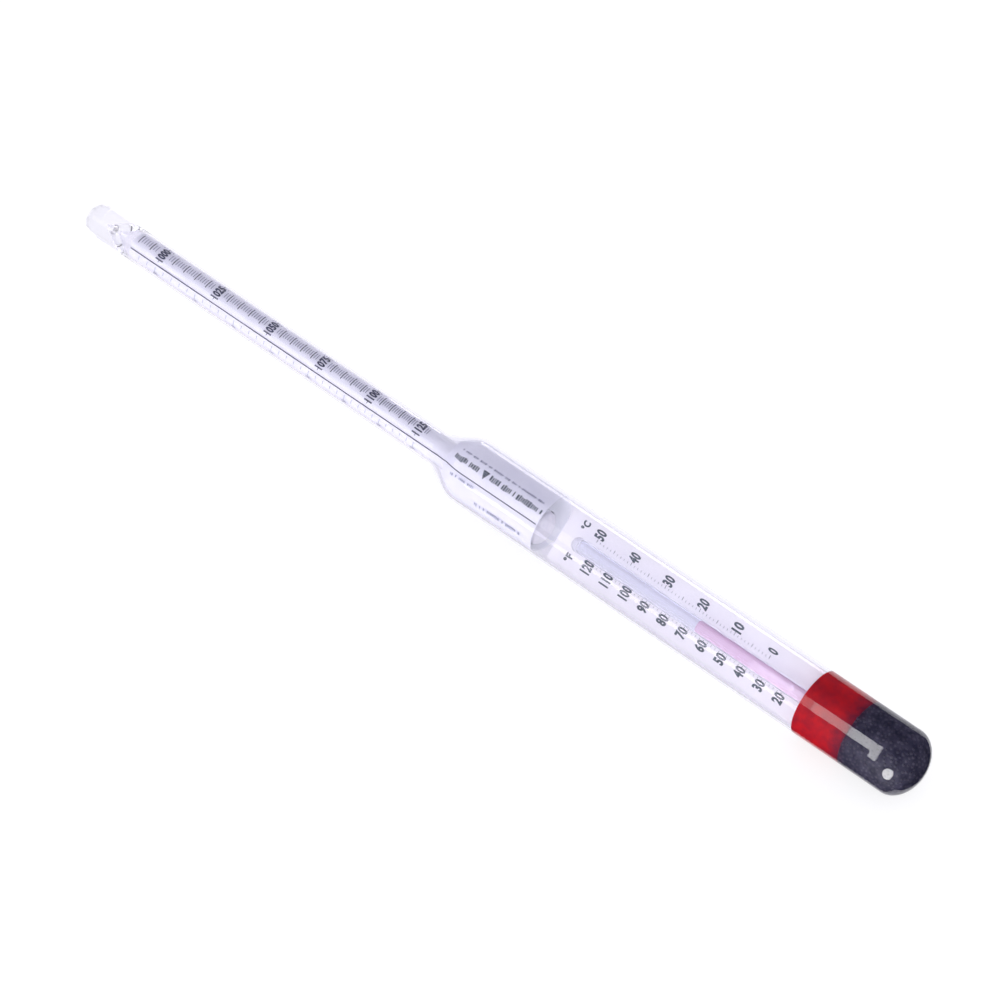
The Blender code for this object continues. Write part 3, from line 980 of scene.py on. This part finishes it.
def make_thread():
    points, faces = [], []
    end = THREAD_END - FOOT_GAP
    even = run(SPIRIT_EVEN, end - FOOT_CLOSES, SPIRIT_STEP)
    ribbon(points, faces, *SPIRIT_SIZE, ribbon_profile(THREAD_TOP, SPIRIT_CLOSES, even, end))
    spirit = spirit_material("thread_spirit", (0.93, 0.70, 0.84), (0.89, 0.62, 0.79), 0.3)
    thread = add_piece("spirit_column", points, faces, spirit, body=None, slot="spirit", sharp=60.0)
    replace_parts(thread, "spirit_thread")
    foot = facing(0.0, TUBE_FORWARD, THREAD_END)
    top = facing(0.0, TUBE_FORWARD, THREAD_TOP)
    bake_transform(thread)
    thread.visible_shadow = False


# The wax and the ballast. Both are poured against the glass, and reach a hair into it so that no air shows.

CONTACT = 0.02
WAX_RISE = 1.1
WAX_LAP = 0.15
WAX_ROUGH = 0.12
WAX_EDGE = 6
WAX_STEPS = 16
WAX_STEP = 0.6
WAX_RINGS = 6
BINDER_LAP = 0.12
GRAIN_SEED = 11
GRAIN_SIZE = 1.25
GRAIN_GAP = 0.92
GRAIN_TRIES = 9000
GRAIN_SPREAD = (0.8, 1.12)
GRAIN_SHOWS = (0.14, 0.28)
GRAIN_SQUASH = (0.88, 1.0)
DOME_ARC = 1.14 * (INNER_RADIUS + BASE_RISE) / 2
NEARLY = 0.9999


def make_wax():
    radius = INNER_RADIUS + CONTACT
    end = WAX_END + WAX_LAP

    def top_at(wide):
        return WAX_TOP + WAX_RISE * (1.0 - (wide / radius) ** WAX_EDGE)

    profile = [(wide, top_at(wide)) for wide in (radius * step / WAX_STEPS for step in range(WAX_STEPS + 1))]
    profile += [(radius, down) for down in run(WAX_TOP, end, WAX_STEP)[1:]]
    profile += [(radius * step / WAX_RINGS, end) for step in range(WAX_RINGS - 1, -1, -1)]
    points, faces = turned(profile)
    for point in points:
        down = (point.x - TIP_X) / MM
        if down < WAX_TOP + WAX_RISE + 0.01:
            rough = WAX_ROUGH * noise.noise(Vector((point.y, point.z, 0.0)) * 500.0)
            point.x += rough * MM * (down - WAX_TOP) / WAX_RISE
    wax = add_piece("sealing_wax_plug", points, faces, wax_material(), slot="wax", sharp=45.0)
    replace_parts(wax, "sealing_wax")


def fill_surface(along_wall):
    """Point (radius, down) and outward slope of the ballast's surface, at a distance along its wall."""
    straight = BASE_TOP - SHOT_TOP
    if along_wall < straight:
        return INNER_RADIUS, SHOT_TOP + along_wall, 0.0
    turn = min((along_wall - straight) / DOME_ARC, 1.0) * math.pi / 2 * NEARLY
    slope = math.atan2(INNER_RADIUS * math.sin(turn), BASE_RISE * math.cos(turn))
    return INNER_RADIUS * math.cos(turn), BASE_TOP + BASE_RISE * math.sin(turn), slope


def scatter_grains(draw, gap):
    """Irregular spots on the ballast's wall, as (radius, down, slope, angle), no two closer than the gap."""
    reach_along = BASE_TOP - SHOT_TOP + DOME_ARC * math.pi / 2
    spots, taken = [], []
    for _ in range(GRAIN_TRIES):
        radius, down, slope = fill_surface(draw.uniform(0.0, reach_along))
        angle = draw.uniform(0.0, math.tau)
        if draw.random() * INNER_RADIUS > radius:
            continue
        here = Vector((down, radius * math.sin(angle), radius * math.cos(angle)))
        if all((here - other).length_squared > gap * gap for other in taken):
            taken.append(here)
            spots.append((radius, down, slope, angle))
    return spots


def make_shot():
    """A dark binder, with round grains that show through it where they touch the glass."""
    top = SHOT_TOP - BINDER_LAP
    core = INNER_RADIUS + CONTACT / 2
    profile = [(0.0, top), (core * 0.5, top), (core, top)]
    profile += [(core, down) for down in run(top, BASE_TOP, 1.0)[1:]]
    profile += quarter(core, BASE_TOP, BASE_RISE + CONTACT / 2, END_STEPS)
    points, faces = turned(profile)
    binder = add_piece("ballast_binder", points, faces, RESIN, slot="shot", sharp=50.0)
    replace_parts(binder, "shot_ballast")

    grain = bmesh.new()
    bmesh.ops.create_icosphere(grain, subdivisions=2, radius=1.0)
    unit = [corner.co.copy() for corner in grain.verts]
    grain.verts.index_update()
    unit_faces = [[corner.index for corner in face.verts] for face in grain.faces]
    grain.free()
    draw = random.Random(GRAIN_SEED)
    points, faces = [], []
    for radius, down, slope, angle in scatter_grains(draw, GRAIN_GAP):
        half = GRAIN_SIZE / 2 * draw.uniform(*GRAIN_SPREAD)
        inward = half - draw.uniform(*GRAIN_SHOWS)
        centre = place(radius - inward * math.cos(slope), angle, down - inward * math.sin(slope))
        turn = Matrix.Rotation(draw.uniform(0.0, math.tau), 3, "X")
        squash = [half * draw.uniform(*GRAIN_SQUASH) for _ in range(3)]
        start = len(points)
        for corner in unit:
            stretched = turn @ Vector([part * size for part, size in zip(corner, squash)])
            points.append(centre + stretched * MM)
        faces += [[start + corner for corner in face] for face in unit_faces]
    add_piece("ballast_shot", points, faces, SHOT, slot="shot")


def make_buried():
    """The bulb and its spirit stay as they are in CAD: wax and shot hide them."""
    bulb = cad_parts["thermometer_bulb"]
    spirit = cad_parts["bulb_spirit"]
    bulb.material_slots[0].material = TUBE_GLASS
    spirit.material_slots[0].material = spirit_material("bulb_spirit", (0.70, 0.06, 0.16),
                                                        (0.55, 0.03, 0.10), 0.3)


# The studio.

FLOOR_HALF = 1.6
FLOOR_GLOW = 0.78
FLAG_FRONT = -0.0095
FLAG_SIDE = 0.139
FLAG_LIFT = 0.0004
GLASS_BOUNCES = 32
CLEAR_BOUNCES = 24


def make_floor():
    shape = bmesh.new()
    bmesh.ops.create_grid(shape, x_segments=1, y_segments=1, size=FLOOR_HALF)
    mesh = bpy.data.meshes.new("floor")
    shape.to_mesh(mesh)
    shape.free()
    material, tree, shader = new_material("floor")
    clouds = add_noise(tree, 3.0, 2.0)
    link(tree, blend_colours(tree, spread(tree, clouds, 0.0, 1.0), (0.30, 0.30, 0.31), (0.28, 0.28, 0.29)),
         shader.inputs["Base Color"])
    shader.inputs["Roughness"].default_value = 0.9
    shader.inputs["Specular IOR Level"].default_value = 0.1
    shader.inputs["Emission Color"].default_value = (1.0, 1.0, 1.0, 1.0)
    shader.inputs["Emission Strength"].default_value = FLOOR_GLOW
    mesh.materials.append(material)
    floor = bpy.data.objects.new("floor", mesh)
    collection.objects.link(floor)


def make_flag():
    """Black card in front of the glass and past its round end, seen only in the glass's reflections."""
    far = FLOOR_HALF
    outline = [(-far, -far), (far, -far), (far, FLAG_FRONT), (-far, FLAG_FRONT),
               (FLAG_SIDE, FLAG_FRONT), (far, FLAG_FRONT), (far, far), (FLAG_SIDE, far)]
    points = [(x, y, FLAG_LIFT) for x, y in outline]
    mesh = bpy.data.meshes.new("flag")
    mesh.from_pydata(points, [], [(0, 1, 2, 3), (4, 5, 6, 7)])
    material, tree, shader = new_material("flag")
    weave = add_noise(tree, 900.0, 2.0)
    link(tree, blend_colours(tree, weave, (0.004, 0.004, 0.005), (0.010, 0.010, 0.011)),
         shader.inputs["Base Color"])
    shader.inputs["Roughness"].default_value = 1.0
    shader.inputs["Specular IOR Level"].default_value = 0.0
    mesh.materials.append(material)
    flag = bpy.data.objects.new("flag", mesh)
    collection.objects.link(flag)
    flag.visible_camera = False
    flag.visible_diffuse = False
    flag.visible_transmission = False
    flag.visible_shadow = False


def add_lamp(name, place_at, target, size, power, colour, diffuse=True, glossy=True):
    data = bpy.data.lights.new(name, "AREA")
    data.shape = "RECTANGLE"
    data.size, data.size_y = size
    data.energy = power
    data.color = colour
    lamp = bpy.data.objects.new(name, data)
    collection.objects.link(lamp)
    lamp.location = place_at
    lamp.rotation_mode = "QUATERNION"
    lamp.rotation_quaternion = (Vector(target) - Vector(place_at)).to_track_quat("-Z", "Y")
    lamp.visible_diffuse = diffuse
    lamp.visible_glossy = glossy
    return lamp


def polar(distance, angle, x):
    """Point in metres at an angle round the glass's axis, from straight up."""
    return Vector((x, distance * math.sin(angle), AXIS_Z + distance * math.cos(angle)))


STRIP_START = math.radians(-28.4)
STRIP_FACET = math.radians(10.1)
STRIP_DISTANCE = 0.5

# Where each band of the strip begins and ends along X, its radiance and how many facets wide it is.
STRIP_BANDS = ((-0.600, -0.085, 1.0, 3), (-0.085, -0.056, 2.2, 3), (-0.056, -0.041, 4.4, 3),
               (-0.041, -0.031, 8.5, 3), (-0.031, -0.026, 8.0, 5), (-0.026, -0.023, 3.5, 4))

SPOT_AT = (0.1398, -0.035, 0.012)
SPOT_SIZE = (0.0305, 0.022)
SPOT_RADIANCE = 14.0
SKY_COLOUR = (0.92, 0.92, 1.0, 1.0)
SKY_STRENGTH = 1.02
LAMP_COLOUR = (1.0, 0.985, 0.97)
LAMP_DISTANCE = 0.9
LAMP_SIZE = (0.9, 0.3)

# Each wide lamp's name, its angle round the glass, its place along X and its power.
WIDE_LAMPS = (("key", math.radians(-86.0), 0.05, 3.9), ("fill", math.radians(86.0), 0.0, 2.8))


def make_lights():
    world = bpy.data.worlds.new("studio")
    bpy.context.scene.world = world
    world.use_nodes = True
    sky = world.node_tree.nodes["Background"]
    sky.inputs["Color"].default_value = SKY_COLOUR
    sky.inputs["Strength"].default_value = SKY_STRENGTH
    world.cycles_visibility.glossy = False
    for name, angle, along_x, power in WIDE_LAMPS:
        add_lamp(name, polar(LAMP_DISTANCE, angle, along_x), (0.0, 0.0, AXIS_Z), LAMP_SIZE, power,
                 LAMP_COLOUR, glossy=False)
    for start, end, radiance, facets in STRIP_BANDS:
        for facet in range(facets):
            add_strip(start, end, radiance, facet)
    add_spot()


def add_spot():
    """Small lamp beside the round end, which shows only as an oval highlight on it."""
    place_at = Vector(SPOT_AT)
    area = math.pi / 4 * SPOT_SIZE[0] * SPOT_SIZE[1]
    lamp = add_lamp("spot", place_at, place_at + Vector((0.0, 1.0, 0.0)), SPOT_SIZE,
                    SPOT_RADIANCE * math.pi * area, (1.0, 1.0, 1.0), diffuse=False)
    lamp.data.shape = "ELLIPSE"
    lamp.visible_camera = False
    lamp.visible_transmission = False


def add_strip(start, end, radiance, facet):
    """One flat facet of a long curved lamp that shows only as a highlight along the glass."""
    angle = STRIP_START - (facet + 0.5) * STRIP_FACET
    wide = 2.0 * STRIP_DISTANCE * math.tan(STRIP_FACET / 2)
    middle_x = (start + end) / 2
    place_at = polar(STRIP_DISTANCE, angle, middle_x)
    lamp = add_lamp(f"strip_{facet}", place_at, (middle_x, 0.0, AXIS_Z), (wide, end - start),
                    radiance * math.pi * wide * (end - start), (1.0, 1.0, 1.0), diffuse=False)
    across = Vector((0.0, math.cos(angle), -math.sin(angle)))
    back = Vector((0.0, math.sin(angle), math.cos(angle)))
    lamp.rotation_quaternion = Matrix((across, back.cross(across), back)).transposed().to_quaternion()


def make_camera():
    towards = Vector((math.sin(VIEW_TURN), math.cos(VIEW_TURN) * math.sin(VIEW_ANGLE),
                      math.cos(VIEW_TURN) * math.cos(VIEW_ANGLE)))
    upper = Vector((0.0, math.cos(VIEW_ANGLE), -math.sin(VIEW_ANGLE)))
    target = Vector((VIEW_MIDDLE * MM, 0.0, AXIS_Z)) - upper * VIEW_DROP * MM
    along_x = Vector((1.0, 0.0, 0.0))
    level = (along_x - along_x.dot(towards) * towards).normalized()
    right = level * math.cos(VIEW_TILT) + towards.cross(level) * math.sin(VIEW_TILT)
    up = towards.cross(right)
    data = bpy.data.cameras.new("camera")
    data.lens = LENS
    data.sensor_width = SENSOR
    camera = bpy.data.objects.new("camera", data)
    collection.objects.link(camera)
    camera.rotation_mode = "QUATERNION"
    camera.rotation_quaternion = Matrix((right, up, towards)).transposed().to_quaternion()
    camera.location = target + towards * VIEW_DISTANCE
    bpy.context.scene.camera = camera


def set_look():
    scene = bpy.context.scene
    scene.view_settings.view_transform = "Standard"
    scene.cycles.use_denoising = True
    scene.cycles.max_bounces = GLASS_BOUNCES
    scene.cycles.glossy_bounces = GLASS_BOUNCES
    scene.cycles.transmission_bounces = GLASS_BOUNCES
    scene.cycles.transparent_max_bounces = CLEAR_BOUNCES


make_camera()
make_lights()
make_floor()
make_flag()
set_look()
make_envelope()
make_papers()
make_scale_print()
make_label_print()
make_seam_shadows()
make_wad()
make_card()
make_card_print()
make_capillary()
make_thread()
make_wax()
make_shot()
make_buried()
